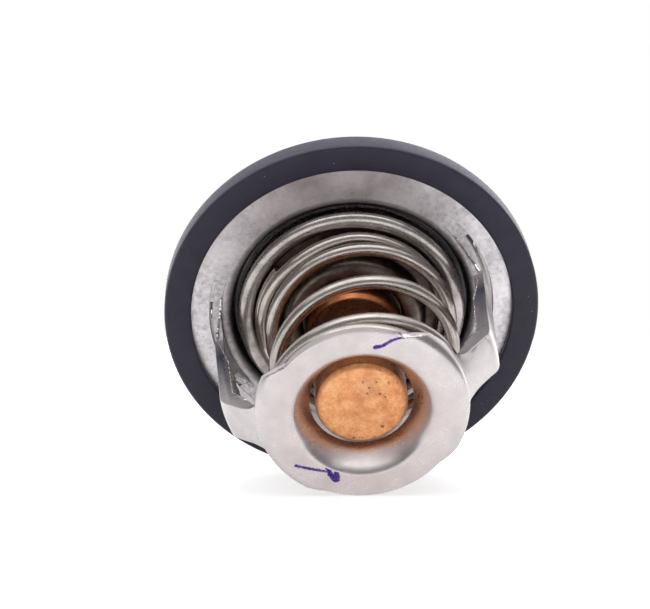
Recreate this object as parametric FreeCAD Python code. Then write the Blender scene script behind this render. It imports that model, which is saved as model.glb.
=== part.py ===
import FreeCAD, Part
import math
import os
from FreeCAD import Vector

# Wax-pellet thermostat for an engine's cooling circuit, in millimetres.
# Origin: on the axis, in the face of the lower frame's ring, which it stands on.
# +Z runs along the axis to the outlet side. The frame's two legs stand at +X and -X.

# Copper capsule and what it holds, from the piston outwards
piston_radius = 2.25
piston_running_gap = 0.05
piston_tip_height = 1.6
piston_tip_radius = 1.5
piston_top_chamfer = 0.5
sleeve_wall = 2.1
wax_wall = 2.55
capsule_wall = 0.8
sleeve_outer_radius = piston_radius + piston_running_gap + sleeve_wall
capsule_radius = sleeve_outer_radius + wax_wall + capsule_wall
capsule_recess = 3.3
capsule_bottom_bend = 0.9
capsule_step = 0.75
capsule_step_height = 1.3
capsule_step_bend = 1.0
capsule_lip = 1.9
inner_gap = 0.03
washer_height = 1.6
washer_wall = 1.3
washer_cover = 0.5
washer_lip_gap = 0.2
guide_wall = 1.05
guide_neck_radius = piston_radius + washer_wall + guide_wall
guide_flange = 2.0
guide_flange_chamfer = 0.6
guide_neck_height = 9.2
sleeve_flange = 1.4
sleeve_bottom_wall = 2.6
sleeve_nose_inset = 0.8
sleeve_nose_height = 1.4
sleeve_head_room = 0.64
wax_below_sleeve = 3.64
wax_edge_chamfer = 0.8
collar_height = 1.6
collar_wall = 2.3

# Valve plate, from the capsule's head outwards
plate_sheet = 1.2
plate_well_gap = 0.5
plate_hub_width = 2.8
plate_hub_slope = 0.5
plate_floor_width = 5.1
plate_bead_slope = 0.5
plate_bead_width = 1.8
plate_bead_depth = 0.75
plate_hub_depth = 4.2
plate_web_drop = 1.75
plate_rim_bend = 0.89
plate_bead_bend = 0.7
plate_seat_bend = 1.4
plate_hub_bend = 1.1
plate_well_bend = 0.9
plate_web_bend = 0.75
plate_seat_gap = 0.15
plate_well_middle = capsule_radius + capsule_step + plate_well_gap + plate_sheet / 2
plate_hub_radius = plate_well_middle + plate_hub_width
plate_floor_radius = plate_hub_radius + plate_floor_width
plate_bead_radius = plate_floor_radius + plate_bead_slope
plate_rim_radius = plate_bead_radius + plate_bead_width + plate_sheet / 2

# Lower frame: one stamping, a ring with a bell mouth and two legs
frame_sheet = 1.6
frame_height = 32.2
ring_bore_gap = 1.35
ring_bore_radius = capsule_radius + ring_bore_gap
ring_width = 6.9
ring_radius = ring_bore_radius + ring_width
ring_bore_bend = 2.3
ring_collar_height = 3.4
skirt_outward = 1.8
skirt_height = 3.5
skirt_bend = 1.6
skirt_half_angle = 52.0
skirt_end_centre = 7.3
skirt_end_ramp = 5.0
skirt_end_margin = 0.12
leg_root_height = 3.8
shoulder_height = 9.7
shoulder_bend = 3.0
root_bend = 1.0
leg_lean = 1.3
leg_lean_bend = 4.0
leg_half_width = 3.7
foot_root_height = 2.6
foot_fillet = 3.5
flank_depth = 1.8
flank_taper_height = 21.0
flank_top = 29.0
flank_tip_inset = 0.24
flank_shoulder_rise = 1.4
flank_root_rise = 3.6
flank_root_reach = 1.4
tab_flare = 4.4
tab_neck_spread = 1.3
tab_corner_inset = 1.2
slot_gap = 0.12
slot_outer_gap = 0.5
slot_end_gap = 2.624
prong_width = 4.0
prong_reach = 3.3
prong_bend = 1.0

# Flange: throat round the plate, slots for the legs
flange_sheet = 1.2
plate_gap_to_throat = 0.7
throat_radius = plate_rim_radius + plate_gap_to_throat
throat_bend = 1.2
throat_to_leg = 3.1
leg_radius = throat_radius + throat_to_leg
seat_height = 2.6
seat_cover = 1.8
seat_inner_radius = plate_rim_radius - seat_cover
seat_bend = 0.9

# Upper bridge: a stamped arch whose feet the frame's prongs hold down
bridge_sheet = 1.5
bridge_half_width = 5.5
bridge_prong_gap = 0.7
bridge_wall_inset = 0.85
bridge_wall_radius = leg_radius - bridge_wall_inset
bridge_wall_height = 4.5
bridge_height = 13.75
bridge_crown_reach = 10.5
bridge_bend = 2.2
bridge_foot_bend = 1.2
foot_gap = 0.25
foot_land = 2.95
foot_outer_radius = leg_radius + frame_sheet / 2 + foot_gap + foot_land
prong_inner_half_width = bridge_half_width + bridge_prong_gap
tab_half_width = prong_inner_half_width + prong_width
crown_radius = 7.4
socket_wall = 1.95
socket_outer_radius = piston_radius + socket_wall
socket_height = 2.0
socket_depth = 2.0
socket_rim_round = 1.2

# Rubber seal on the flange's edge
seal_foot_gap = 0.55
seal_inner_radius = foot_outer_radius + seal_foot_gap
seal_grip = 2.55
flange_outer_radius = seal_inner_radius + seal_grip
seal_rim_wall = 2.2
seal_outer_radius = flange_outer_radius + seal_rim_wall
seal_thickness = 4.4
seal_edge_round = 0.6
seal_lip_round = 0.4
seal_groove_gap = 0.04

# Spring
wire_radius = 1.2
spring_bead_gap = 0.1
spring_ring_inset = 0.2
spring_radius_at_plate = plate_floor_radius - wire_radius - spring_bead_gap
spring_radius_at_ring = ring_radius - wire_radius - spring_ring_inset
spring_turns = 5.064
spring_end_angle = -127.0
flat_turns = 0.83
climb_turns = 0.15
closed_turn_gap = 0.05
open_start = 1.354
open_start_turns = 1.1
open_end = 1.05
open_end_turns = 0.4
spring_offset = Vector(1.25, 0.4, 0)
offset_start = 1.0
offset_start_turns = 0.3
offset_end = 0.9
offset_end_turns = 0.35
spring_gap = 0.15
spring_seat_gap = 0.06
spring_points_per_turn = 14

# Heights and angles that follow
seal_low = frame_height
seal_high = seal_low + seal_thickness
flange_low = seal_low + (seal_thickness - flange_sheet) / 2
flange_high = flange_low + flange_sheet
seat_low = flange_high + seat_height - flange_sheet
plate_rim_high = seat_low - plate_seat_gap
spring_low = frame_sheet + spring_seat_gap + wire_radius
plate_floor_low = seal_low + plate_bead_depth
spring_high = plate_floor_low - spring_gap - wire_radius
capsule_head_high = plate_floor_low - plate_web_drop
capsule_head_height = capsule_wall + 2 * inner_gap + guide_flange + sleeve_flange + sleeve_head_room
piston_low = capsule_recess + capsule_wall + wax_below_sleeve + sleeve_bottom_wall
bridge_foot_high = flange_high + bridge_sheet
crown_low = flange_high + bridge_height - bridge_sheet
crown_high = crown_low + bridge_sheet
slot_half_angle = math.degrees(math.asin((tab_half_width + slot_end_gap) / leg_radius))
foot_half_angle = math.degrees(math.asin(tab_half_width / foot_outer_radius))
Z_AXIS = Vector(0, 0, 1)


def profile_point(point):
    """A point (radius, height) of a half section, in the XZ plane."""
    return Vector(point[0], 0, point[1])


def bent_section(points, bends, sheet):
    """Section of a bent sheet: its middle line's corners, a bend radius for each inner corner, its thickness."""
    corners = [profile_point(point) for point in points]
    runs = [(b - a).normalize() for a, b in zip(corners, corners[1:])]
    sides = {1: [], -1: []}
    starts = {side: corners[0] + side * sheet / 2 * Vector(-runs[0].z, 0, runs[0].x) for side in sides}
    first = dict(starts)
    for corner, before, after, bend in zip(corners[1:-1], runs, runs[1:], bends):
        turn = 1 if before.x * after.z - before.z * after.x > 0 else -1
        half_turn = before.getAngle(after) / 2
        back = bend * math.tan(half_turn)
        normal_before = Vector(-before.z, 0, before.x)
        normal_after = Vector(-after.z, 0, after.x)
        bend_start = corner - back * before
        bend_end = corner + back * after
        centre = bend_start + turn * bend * normal_before
        outward = (corner - centre).normalize()
        for side in sides:
            radius = bend - turn * side * sheet / 2
            arc_start = bend_start + side * sheet / 2 * normal_before
            arc_end = bend_end + side * sheet / 2 * normal_after
            sides[side].append(Part.makeLine(starts[side], arc_start))
            sides[side].append(Part.Arc(arc_start, centre + radius * outward, arc_end).toShape())
            starts[side] = arc_end
    last = {side: corners[-1] + side * sheet / 2 * Vector(-runs[-1].z, 0, runs[-1].x) for side in sides}
    for side in sides:
        sides[side].append(Part.makeLine(starts[side], last[side]))
    ends = [Part.makeLine(last[1], last[-1]), Part.makeLine(first[1], first[-1])]
    return Part.Face(Part.Wire(Part.__sortEdges__(sides[1] + sides[-1] + ends)))


def flat_section(points):
    """Section with straight sides through the points (radius, height)."""
    corners = [profile_point(point) for point in points]
    return Part.Face(Part.makePolygon(corners + corners[:1]))


def revolved(face, half_angle=180.0):
    """Solid of a half section turned about the axis, over half_angle to each side of +X."""
    if half_angle < 180:
        face = face.rotated(Vector(), Z_AXIS, -half_angle)
    return face.revolve(Vector(), Z_AXIS, 2 * half_angle)


def ring(inner, outer, low, high):
    """Plain ring about the axis."""
    return revolved(flat_section([(inner, low), (outer, low), (outer, high), (inner, high)]))


def sector(inner, outer, low, high, half_angle):
    """Part of a plain ring, over half_angle to each side of +X."""
    section = flat_section([(inner, low), (outer, low), (outer, high), (inner, high)])
    return revolved(section, half_angle)


def both_sides(solid):
    """The solid at +X and its copy turned to -X."""
    return [solid, solid.rotated(Vector(), Z_AXIS, 180)]


def rim_edges(solid, radius):
    """Full circles of the solid at a radius."""
    circles = [edge for edge in solid.Edges if len(edge.Vertexes) == 1]
    return [edge for edge in circles if abs(edge.BoundBox.XMax - radius) < 0.01]


def seal_ring():
    """Rubber ring with rounded rims and a groove that grips the flange's edge."""
    body = ring(seal_inner_radius, seal_outer_radius, seal_low, seal_high)
    body = body.makeFillet(seal_edge_round, rim_edges(body, seal_outer_radius))
    body = body.makeFillet(seal_lip_round, rim_edges(body, seal_inner_radius))
    groove = ring(
        seal_inner_radius - seal_lip_round,
        flange_outer_radius + seal_groove_gap,
        flange_low - seal_groove_gap,
        flange_high + seal_groove_gap,
    )
    return body.cut(groove)


def flange():
    """Stamped flange: flat rim, drawn throat and the seat that the valve plate closes against."""
    middle = flange_low + flange_sheet / 2
    throat_middle = throat_radius + flange_sheet / 2
    seat_middle = seat_low + flange_sheet / 2
    section = bent_section(
        [
            (flange_outer_radius, middle),
            (throat_middle, middle),
            (throat_middle, seat_middle),
            (seat_inner_radius, seat_middle),
        ],
        [throat_bend, seat_bend],
        flange_sheet,
    )
    solid = revolved(section)
    slot = sector(
        leg_radius - frame_sheet / 2 - slot_gap,
        leg_radius + frame_sheet / 2 + slot_outer_gap,
        flange_low - flange_sheet,
        flange_high + flange_sheet,
        slot_half_angle,
    )
    return solid.cut(both_sides(slot))


def block_along_x(half):
    """Block on the side of +X: its outline, seen along X, has the points (y, z) and their mirrored ones."""
    outline = [Vector(0, y, z) for y, z in half] + [Vector(0, -y, z) for y, z in reversed(half)]
    return Part.Face(Part.makePolygon(outline + outline[:1])).extrude(Vector(seal_outer_radius, 0, 0))


def leg_outline():
    """Outline of a leg seen along X, from its filleted root in the skirt to its wide tab."""
    root_half_width = leg_half_width + foot_fillet
    fillet_high = foot_root_height + foot_fillet
    block = block_along_x(
        [
            (root_half_width, 0),
            (root_half_width, fillet_high),
            (leg_half_width, fillet_high),
            (leg_half_width, flange_low - tab_flare),
            (leg_half_width + tab_neck_spread, flange_low - tab_flare / 2),
            (tab_half_width - tab_corner_inset, flange_low),
            (tab_half_width, flange_low + tab_corner_inset),
            (tab_half_width, bridge_foot_high + 3 * frame_sheet),
        ]
    )
    fillet = Part.makeCylinder(foot_fillet, seal_outer_radius, Vector(0, 0, fillet_high), Vector(1, 0, 0))
    return block.cut([fillet.translated(Vector(0, y, 0)) for y in (-root_half_width, root_half_width)])


def leg_flanks():
    """The leg's two turned-in flanks: they follow the foot and the upright and run out below the tab."""
    root = Vector(ring_radius + skirt_outward - frame_sheet / 2, 0, leg_root_height)
    shoulder = Vector(leg_radius - leg_lean, 0, shoulder_height)
    outline = [
        root,
        shoulder,
        Vector(leg_radius - flank_tip_inset, 0, flank_top),
        Vector(leg_radius - leg_lean / 2 - flank_depth, 0, flank_taper_height),
        shoulder + Vector(-flank_depth, 0, flank_shoulder_rise),
        root + Vector(flank_root_reach, 0, flank_root_rise),
        root + Vector(0, 0, frame_sheet / 2),
    ]
    plate = Part.Face(Part.makePolygon(outline + outline[:1])).extrude(Vector(0, frame_sheet, 0))
    return [plate.translated(Vector(0, y, 0)) for y in (-leg_half_width, leg_half_width - frame_sheet)]


def frame_leg():
    """One leg at +X: shoulder, curved upright, tab through the flange's slot and two folded prongs."""
    skirt_middle = ring_radius + skirt_outward - frame_sheet / 2
    fold = bridge_foot_high + frame_sheet / 2
    section = bent_section(
        [
            (ring_radius - frame_sheet, frame_sheet / 2),
            (skirt_middle, frame_sheet / 2),
            (skirt_middle, leg_root_height),
            (leg_radius - leg_lean, shoulder_height),
            (leg_radius, flange_low),
            (leg_radius, fold),
            (leg_radius + prong_reach, fold),
        ],
        [skirt_bend, root_bend, shoulder_bend, leg_lean_bend, prong_bend],
        frame_sheet,
    )
    leg = revolved(section, slot_half_angle).common(leg_outline())
    leg = leg.fuse(leg_flanks()).removeSplitter()
    between_prongs = Part.makeBox(
        seal_outer_radius,
        2 * prong_inner_half_width,
        4 * frame_sheet,
        Vector(0, -prong_inner_half_width, flange_high),
    )
    return leg.cut(between_prongs)


def skirt():
    """Raised skirt at +X: the ring's rim bent up, running out smoothly at both ends."""
    skirt_middle = ring_radius + skirt_outward - frame_sheet / 2
    section = bent_section(
        [
            (ring_radius - frame_sheet, frame_sheet / 2),
            (skirt_middle, frame_sheet / 2),
            (skirt_middle, skirt_height),
        ],
        [skirt_bend],
        frame_sheet,
    )
    end_angle = math.radians(skirt_half_angle)
    end = ring_radius * Vector(math.cos(end_angle), math.sin(end_angle), 0)
    centre = Vector(skirt_end_centre, 0, 0)
    plan = Part.makeCylinder(end.distanceToPoint(centre), skirt_height, centre)
    side = block_along_x(
        [
            (end.y + frame_sheet, 0),
            (end.y + skirt_end_margin, frame_sheet),
            (end.y - skirt_end_ramp, skirt_height),
        ]
    )
    return revolved(section, skirt_half_angle).common(plan).common(side)


def lower_frame():
    """Ring with a bell mouth, a raised skirt on each leg's side, and the two legs."""
    bore_middle = ring_bore_radius + frame_sheet / 2
    plain_ring = revolved(
        bent_section(
            [
                (ring_radius, frame_sheet / 2),
                (bore_middle, frame_sheet / 2),
                (bore_middle, ring_collar_height),
            ],
            [ring_bore_bend],
            frame_sheet,
        )
    )
    bent_rim = sector(
        ring_radius - frame_sheet,
        ring_radius + frame_sheet,
        -frame_sheet,
        2 * frame_sheet,
        skirt_half_angle,
    )
    ring_between = plain_ring.cut(both_sides(bent_rim))
    return ring_between.fuse(both_sides(skirt()) + both_sides(frame_leg())).removeSplitter()


def upper_bridge():
    """Arch over the throat: two feet on the flange, held by the prongs, and a socket for the piston's tip."""
    foot_middle = flange_high + bridge_sheet / 2
    wall_top = flange_high + bridge_wall_height
    crown_middle = crown_low + bridge_sheet / 2
    half_path = [
        (foot_outer_radius + bridge_sheet, foot_middle),
        (bridge_wall_radius, foot_middle),
        (bridge_wall_radius, wall_top),
        (bridge_crown_reach, crown_middle),
    ]
    path = half_path + [(-x, z) for x, z in reversed(half_path)]
    half_bends = [bridge_foot_bend, bridge_bend, 2 * bridge_bend]
    section = bent_section(path, half_bends + half_bends[::-1], bridge_sheet)
    strap = section.extrude(Vector(0, 2 * bridge_half_width, 0))
    strap.translate(Vector(0, -bridge_half_width, 0))
    within = Part.makeCylinder(foot_outer_radius, bridge_height + 1, Vector(0, 0, flange_high))
    strap = strap.common(within)
    wing = sector(
        leg_radius + frame_sheet / 2 + foot_gap,
        foot_outer_radius,
        flange_high,
        bridge_foot_high,
        foot_half_angle,
    )
    crown = Part.makeCylinder(crown_radius, bridge_sheet, Vector(0, 0, crown_low))
    socket = Part.makeCylinder(socket_outer_radius, bridge_sheet + socket_height, Vector(0, 0, crown_low))
    rim = [edge for edge in rim_edges(socket, socket_outer_radius) if edge.BoundBox.ZMin > crown_high]
    socket = socket.makeFillet(socket_rim_round, rim)
    pocket = Part.makeCylinder(piston_radius + 2 * piston_running_gap, socket_depth, Vector(0, 0, crown_low))
    return strap.fuse(both_sides(wing) + [crown, socket]).cut(pocket).removeSplitter()


def ease(value):
    """Smooth step from 0 to 1."""
    value = min(max(value, 0.0), 1.0)
    return value * value * (3 - 2 * value)


def between(turn, start, start_turns, end, end_turns):
    """1 between a smooth rise and a smooth fall, else 0. The fall ends so many turns before the spring's end."""
    return ease((turn - start) / start_turns) * ease((spring_turns - end - turn) / end_turns)


def spring_path():
    """Points of the spring's middle line, from the plate down to the ring.

    Each end turn lies flat and then climbs over the wire's own end. The pitch of the turns between
    them follows from the height.
    """
    steps = round(spring_turns * spring_points_per_turn)
    step = spring_turns / steps
    climb = 2 * wire_radius + closed_turn_gap
    last_climb = spring_turns - flat_turns - climb_turns
    shares = [
        between((index + 0.5) * step, open_start, open_start_turns, open_end, open_end_turns)
        for index in range(steps)
    ]
    open_drop = (spring_high - spring_low - 2 * climb) / sum(shares)
    points = []
    for index in range(steps + 1):
        turn = index * step
        climbs = ease((turn - flat_turns) / climb_turns) + ease((turn - last_climb) / climb_turns)
        height = spring_high - climb * climbs - open_drop * sum(shares[:index])
        taper = max(turn - 1, 0) / (spring_turns - 1)
        radius = spring_radius_at_plate + (spring_radius_at_ring - spring_radius_at_plate) * taper
        angle = math.radians(spring_end_angle - 360 * turn)
        centre = spring_offset * between(turn, offset_start, offset_start_turns, offset_end, offset_end_turns)
        points.append(Vector(radius * math.cos(angle), radius * math.sin(angle), height) + centre)
    return points


def main_spring():
    """Conical compression spring of round wire with closed ends, right-hand wound."""
    points = spring_path()
    curve = Part.BSplineCurve()
    curve.interpolate(points)
    path = Part.Wire(curve.toShape())
    start = curve.tangent(curve.FirstParameter)[0]
    circle = Part.Wire(Part.Circle(points[0], start, wire_radius).toShape())
    return path.makePipeShell([circle], True, True)


def valve_plate():
    """Stamped plate: sealing rim, round bead, flat spring seat and a well for the capsule's head."""
    wall_middle = plate_rim_radius - plate_sheet / 2
    floor_middle = plate_floor_low + plate_sheet / 2
    bead_middle = plate_floor_low - plate_bead_depth + plate_sheet / 2
    hub_low_middle = plate_floor_low - plate_hub_depth + plate_sheet / 2
    web_middle = capsule_head_high + inner_gap + plate_sheet / 2
    section = bent_section(
        [
            (wall_middle, plate_rim_high),
            (wall_middle, bead_middle),
            (plate_bead_radius, bead_middle),
            (plate_floor_radius, floor_middle),
            (plate_hub_radius, floor_middle),
            (plate_hub_radius - plate_hub_slope, hub_low_middle),
            (plate_well_middle, hub_low_middle),
            (plate_well_middle, web_middle),
            (guide_neck_radius + inner_gap, web_middle),
        ],
        [
            plate_rim_bend,
            plate_bead_bend,
            plate_bead_bend,
            plate_seat_bend,
            plate_hub_bend,
            plate_well_bend,
            plate_web_bend,
        ],
        plate_sheet,
    )
    return revolved(section)


def capsule_cup():
    """Deep-drawn copper cup with a wider head, crimped over the guide's flange."""
    low_middle = capsule_recess + capsule_wall / 2
    middle_radius = capsule_radius - capsule_wall / 2
    head_radius = middle_radius + capsule_step
    step_high = capsule_head_high - capsule_head_height
    lip_middle = capsule_head_high - capsule_wall / 2
    section = bent_section(
        [
            (0, low_middle),
            (middle_radius, low_middle),
            (middle_radius, step_high - capsule_step_height),
            (head_radius, step_high),
            (head_radius, lip_middle),
            (head_radius - capsule_lip, lip_middle),
        ],
        [capsule_bottom_bend, capsule_step_bend, capsule_step_bend, capsule_wall],
        capsule_wall,
    )
    return revolved(section)


def head_inner_radius():
    return capsule_radius + capsule_step - capsule_wall - inner_gap


def guide_flange_high():
    return capsule_head_high - capsule_wall - inner_gap


def sleeve_flange_high():
    return guide_flange_high() - guide_flange - inner_gap


def piston_guide():
    """Turned brass guide: flange in the capsule's head, neck through the plate, recess for the washer."""
    bore = piston_radius + piston_running_gap
    low = guide_flange_high() - guide_flange
    high = guide_flange_high() + guide_neck_height
    recess = high - washer_height - washer_cover
    recess_radius = piston_radius + washer_wall
    lip_radius = piston_radius + washer_lip_gap
    section = flat_section(
        [
            (bore, low),
            (head_inner_radius(), low),
            (head_inner_radius(), guide_flange_high() - guide_flange_chamfer),
            (head_inner_radius() - guide_flange_chamfer, guide_flange_high()),
            (guide_neck_radius, guide_flange_high()),
            (guide_neck_radius, high - guide_flange_chamfer),
            (guide_neck_radius - guide_flange_chamfer, high),
            (lip_radius, high),
            (lip_radius, high - washer_cover),
            (recess_radius, high - washer_cover),
            (recess_radius, recess),
            (bore, recess),
        ]
    )
    return revolved(section)


def scraper_washer():
    """Rubber washer in the guide's mouth that keeps coolant off the piston."""
    high = guide_flange_high() + guide_neck_height - washer_cover - inner_gap
    return ring(
        piston_radius + piston_running_gap,
        piston_radius + washer_wall - inner_gap,
        high - washer_height + 2 * inner_gap,
        high,
    )


def retaining_collar():
    """Steel collar pressed on the guide's neck above the plate."""
    low = capsule_head_high + plate_sheet + 2 * inner_gap
    return ring(guide_neck_radius + inner_gap, guide_neck_radius + collar_wall, low, low + collar_height)


def sleeve_section(gap):
    """Outside of the rubber sleeve, grown by a gap."""
    flange_low_side = sleeve_flange_high() - sleeve_flange
    outside = sleeve_outer_radius
    bottom = piston_low - sleeve_bottom_wall
    return [
        (0, bottom - gap),
        (outside - sleeve_nose_inset + gap, bottom - gap),
        (outside + gap, bottom + sleeve_nose_height),
        (outside + gap, flange_low_side - gap),
        (head_inner_radius() - gap, flange_low_side - gap),
    ]


def rubber_sleeve():
    """Thick rubber sleeve round the piston: the melting wax squeezes it and drives the piston out."""
    top = sleeve_flange_high()
    outside = flat_section(sleeve_section(0) + [(head_inner_radius(), top), (0, top)])
    bore = piston_radius + piston_running_gap
    tip = piston_tip_radius + piston_running_gap
    hollow = flat_section(
        [
            (0, piston_low - piston_running_gap),
            (tip, piston_low - piston_running_gap),
            (bore, piston_low + piston_tip_height),
            (bore, top),
            (0, top),
        ]
    )
    return revolved(outside).cut(revolved(hollow))


def wax_charge():
    """Wax that fills the capsule round the sleeve."""
    low = capsule_recess + capsule_wall + inner_gap
    radius = capsule_radius - capsule_wall - inner_gap
    top = capsule_head_high - capsule_head_height - capsule_step_height
    shoulder = low + wax_edge_chamfer
    outline = [(0, low), (radius - wax_edge_chamfer, low), (radius, shoulder), (radius, top), (0, top)]
    block = revolved(flat_section(outline))
    shape = sleeve_section(inner_gap)
    hollow = revolved(flat_section(shape + [(0, shape[-1][1])]))
    return block.cut(hollow)


def piston():
    """Steel piston: its tip stands in the bridge's socket, its tapered end in the sleeve."""
    top = crown_low + socket_depth - inner_gap
    section = flat_section(
        [
            (0, piston_low),
            (piston_tip_radius, piston_low),
            (piston_radius, piston_low + piston_tip_height),
            (piston_radius, top - piston_top_chamfer),
            (piston_radius - piston_top_chamfer, top),
            (0, top),
        ]
    )
    return revolved(section)


PIECES = {
    "seal_ring": seal_ring,
    "flange": flange,
    "lower_frame": lower_frame,
    "upper_bridge": upper_bridge,
    "main_spring": main_spring,
    "valve_plate": valve_plate,
    "retaining_collar": retaining_collar,
    "capsule_cup": capsule_cup,
    "piston_guide": piston_guide,
    "scraper_washer": scraper_washer,
    "rubber_sleeve": rubber_sleeve,
    "wax_charge": wax_charge,
    "piston": piston,
}


def main():
    os.makedirs("parts", exist_ok=True)
    for name, make in PIECES.items():
        shape = make()
        solids = shape.Solids
        if len(solids) != 1 or not solids[0].isValid():
            raise RuntimeError(name + " is not one valid solid")
        solids[0].exportStep(os.path.join("parts", name + ".step"))
        box = solids[0].BoundBox
        print(name, round(solids[0].Volume, 1), "mm3, z", round(box.ZMin, 2), "to", round(box.ZMax, 2))


main()
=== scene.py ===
# %% [markdown]
# # An engine thermostat, dressed for the camera
#
# The object is the valve in an engine's cooling circuit: a copper capsule full of wax pushes a plate
# off its seat when the water gets hot, and a coil spring pulls the plate back. A stamped steel frame
# holds the spring, and a rubber ring seals the flange into its housing.
#
# The engineering model already has every piece at its real place and size. This lesson loads it as a
# fixed frame, then gives each piece the edges, marks and finish that make metal look like metal.

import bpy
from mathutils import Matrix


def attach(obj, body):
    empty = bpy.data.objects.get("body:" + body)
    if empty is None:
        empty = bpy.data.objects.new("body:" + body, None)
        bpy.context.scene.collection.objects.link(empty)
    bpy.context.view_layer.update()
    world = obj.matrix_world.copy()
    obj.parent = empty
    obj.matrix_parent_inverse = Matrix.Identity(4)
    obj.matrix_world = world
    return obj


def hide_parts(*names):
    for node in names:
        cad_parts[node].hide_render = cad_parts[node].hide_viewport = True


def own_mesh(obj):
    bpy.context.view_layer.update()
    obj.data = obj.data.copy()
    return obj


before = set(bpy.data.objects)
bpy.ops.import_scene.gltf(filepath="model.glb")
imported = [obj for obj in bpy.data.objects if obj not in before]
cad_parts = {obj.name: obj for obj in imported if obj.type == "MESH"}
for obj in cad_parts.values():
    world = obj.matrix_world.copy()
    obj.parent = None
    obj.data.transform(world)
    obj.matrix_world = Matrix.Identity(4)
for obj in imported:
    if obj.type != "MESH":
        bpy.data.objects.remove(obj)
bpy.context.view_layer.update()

# %% [markdown]
# Blender works in metres, and a thermostat is easier to think about in millimetres. One factor, MM,
# turns every length in this script into metres.

# %% Units and tools
import math
import random

import bmesh
import bpy
from mathutils import Matrix, Vector

MM = 0.001
FULL_TURN = 2 * math.pi
MERGE_DISTANCE = 0.002 * MM
chance = random.Random(11)

# %% [markdown]
# ## From a mesh to a piece
#
# A finished piece rides on a body of the mechanism and stands for the nodes of the engineering model
# that it replaces. Every piece needs the same calls, so they share one helper. Faces that meet at less
# than 35 degrees are shaded as one surface, and anything sharper stays an edge.

# %% Helper: add a piece
SMOOTH_ANGLE = math.radians(35)


def add_piece(shape, name, body, slot, *nodes):
    """Make a finished piece of a bmesh."""
    mesh = bpy.data.meshes.new(name)
    shape.to_mesh(mesh)
    shape.free()
    mesh.shade_smooth()
    mesh.set_sharp_from_angle(angle=SMOOTH_ANGLE)
    piece = bpy.data.objects.new(name, mesh)
    bpy.context.scene.collection.objects.link(piece)
    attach(piece, body)
    if nodes:
        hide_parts(*nodes)
    print(name, "has", len(mesh.polygons), "faces")
    return piece


# %% [markdown]
# ## Soft edges
#
# No stamped or turned edge is perfectly sharp: the die rounds it on one side, and handling rounds it
# on the other. A round of a tenth of a millimetre is enough to catch a line of light. The engineering
# mesh is loose triangles, so a copy of it is merged first, flat areas are dissolved into single faces
# and slivers are collapsed. Edges sharper than an angle are then marked, apart from those beside a very
# short edge, where a round would not fit, and a Bevel modifier rounds the marked ones.

# %% Helpers: copy a node and round its edges
SLIVER = 0.03 * MM
TIGHT_EDGE = 0.12 * MM
FLAT_ANGLE = math.radians(0.2)
SOFT_ANGLE = math.radians(40)
SOFT_STEPS = 3
ROUND_STEPS = 6


def merged_copy(node):
    """A bmesh of a node of the frame, merged, with its flat areas in one face each."""
    shape = bmesh.new()
    shape.from_mesh(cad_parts[node].data)
    bmesh.ops.remove_doubles(shape, verts=shape.verts[:], dist=MERGE_DISTANCE)
    bmesh.ops.dissolve_limit(
        shape,
        angle_limit=FLAT_ANGLE,
        verts=shape.verts[:],
        edges=shape.edges[:],
    )
    bmesh.ops.dissolve_degenerate(shape, dist=SLIVER, edges=shape.edges[:])
    mark_soft_edges(shape)
    return shape


def mark_soft_edges(shape):
    """Weigh the edges to be rounded: sharp ones, away from slivers where a round would not fit."""
    weight = shape.edges.layers.float.new("bevel_weight_edge")
    tight = {
        spot
        for edge in shape.edges
        if edge.calc_length() < TIGHT_EDGE
        for spot in edge.verts
        if len(spot.link_edges) > 2
    }
    for edge in shape.edges:
        if edge.is_manifold and edge.calc_face_angle() > SOFT_ANGLE and tight.isdisjoint(edge.verts):
            edge[weight] = 1.0


def soften_edges(piece, width):
    """Round the marked edges of a piece."""
    rounded = piece.modifiers.new("Soft edges", "BEVEL")
    rounded.width = width
    rounded.segments = SOFT_STEPS
    rounded.limit_method = "WEIGHT"
    rounded.use_clamp_overlap = False
    rounded.harden_normals = True
    return piece


def soften_all_edges(piece, width):
    """Round every sharp edge of a simple piece."""
    soften_edges(piece, width).modifiers["Soft edges"].limit_method = "ANGLE"
    return piece


# %% [markdown]
# ## The stamped and turned pieces
#
# Frame, flange, valve plate and bridge are cut and bent from sheet; guide and piston are turned. Their
# shapes are right in the engineering model, so each one becomes a softened copy. Thicker sheet gets a
# wider round.
#
# Only the lower frame is worked further. The ring's mouth is a plain bend in the engineering model, but
# the real one runs down to the bore as a steep cone, which is why it mirrors the copper capsule. Every
# point of the bend rises by how far the cone lies above it, and both faces of the sheet rise alike.
# The legs are channels bent from thick sheet, so the corners outside are rolled round, not sharp.

# %% Helper: the ring's mouth
MOUTH_START, MOUTH_BEND = 12.2, 3.1
COLLAR_TOP = 3.5
CONE_SLOPE, CONE_ROUND = 2.3, 1.1
BORE_NARROWING = 0.4


def draw_mouth(shape):
    """Raise the bend of the ring's mouth to a cone that ends in a slightly narrower bore."""
    raised = 0
    for spot in shape.verts:
        radius, height = spot.co.xy.length / MM, spot.co.z / MM
        if radius > MOUTH_START or height > COLLAR_TOP:
            continue
        angle = math.atan2(MOUTH_START - radius, max(MOUTH_BEND - height, 0))
        reach = MOUTH_BEND * math.sin(angle)
        cone = CONE_SLOPE * (math.hypot(reach, CONE_ROUND) - CONE_ROUND)
        narrowed = 1 - BORE_NARROWING * reach / MOUTH_BEND / radius
        spot.co.x *= narrowed
        spot.co.y *= narrowed
        spot.co.z += (cone - MOUTH_BEND * (1 - math.cos(angle))) * MM
        raised += 1
    print("The mouth has", raised, "raised points")


# %% Helper: rolled legs
LEG_HALF_WIDTH, SIDE_TOLERANCE = 3.7, 0.01
ROLLED_FROM, ROLLED_TO, ROLLED_BEYOND = 11.5, 28.0, 24.5
LEG_ROLL = 0.9


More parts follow.
